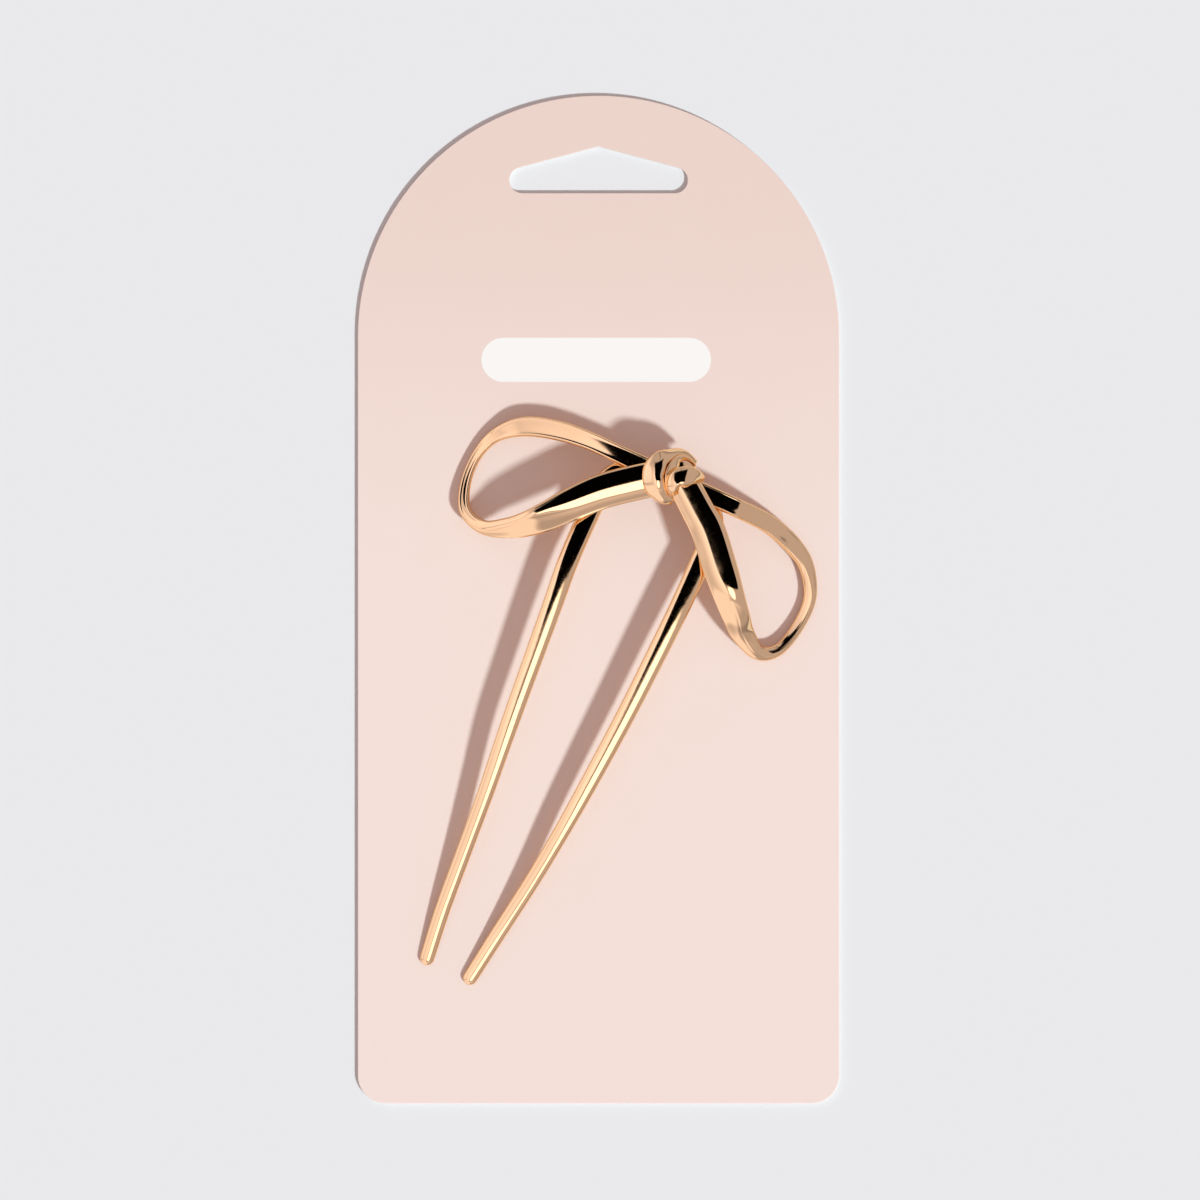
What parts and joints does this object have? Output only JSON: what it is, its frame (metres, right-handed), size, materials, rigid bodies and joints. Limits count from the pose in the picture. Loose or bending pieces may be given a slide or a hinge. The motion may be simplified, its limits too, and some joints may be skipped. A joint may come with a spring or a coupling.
{
  "type": "french hair pin on a display card",
  "caption": "Bow-topped two-prong french hair pin in polished pale gold, lying on a plain pink hang card with an arched top and a slot for a hook.",
  "frame": {"origin": "middle of the card, on its back face", "axes": "+Z out of the card's face towards the pin, +Y up the card towards its hang slot, +X to the right seen from the front"},
  "size_m": [0.086, 0.18, 0.0124],
  "materials": {
    "card": "matt coated board, pale pink, printed plain",
    "gold": "polished pale rose-gold plating on a cast zinc alloy"
  },
  "bodies": {
    "root": {"card": "card", "fork": "gold", "left_loop": "gold", "right_loop": "gold", "knot": "gold"}
  },
  "joints": []
}
